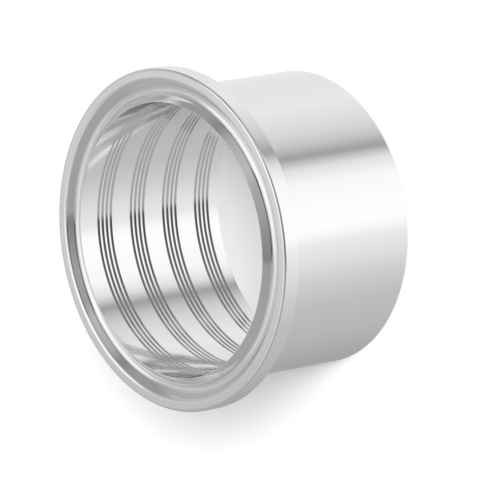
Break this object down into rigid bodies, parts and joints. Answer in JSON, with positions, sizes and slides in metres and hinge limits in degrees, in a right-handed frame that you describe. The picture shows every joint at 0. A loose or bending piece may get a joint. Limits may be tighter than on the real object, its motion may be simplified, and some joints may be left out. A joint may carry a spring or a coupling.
{
  "type": "sanitary clamp ferrule",
  "caption": "Short turned ferrule with a clamp rim, a gasket groove in its sealing face and bands of fine grooves in the bore that grip an expanded tube.",
  "frame": {"origin": "on the bore axis, in the plane of the tube end", "axes": "+Z along the bore axis from the tube end to the sealing face, so the ferrule stands on its tube end"},
  "size_m": [0.064, 0.064, 0.0343],
  "materials": {
    "steel": "fine turned and satin polished stainless steel"
  },
  "bodies": {
    "root": {"ferrule": "steel"}
  },
  "joints": []
}
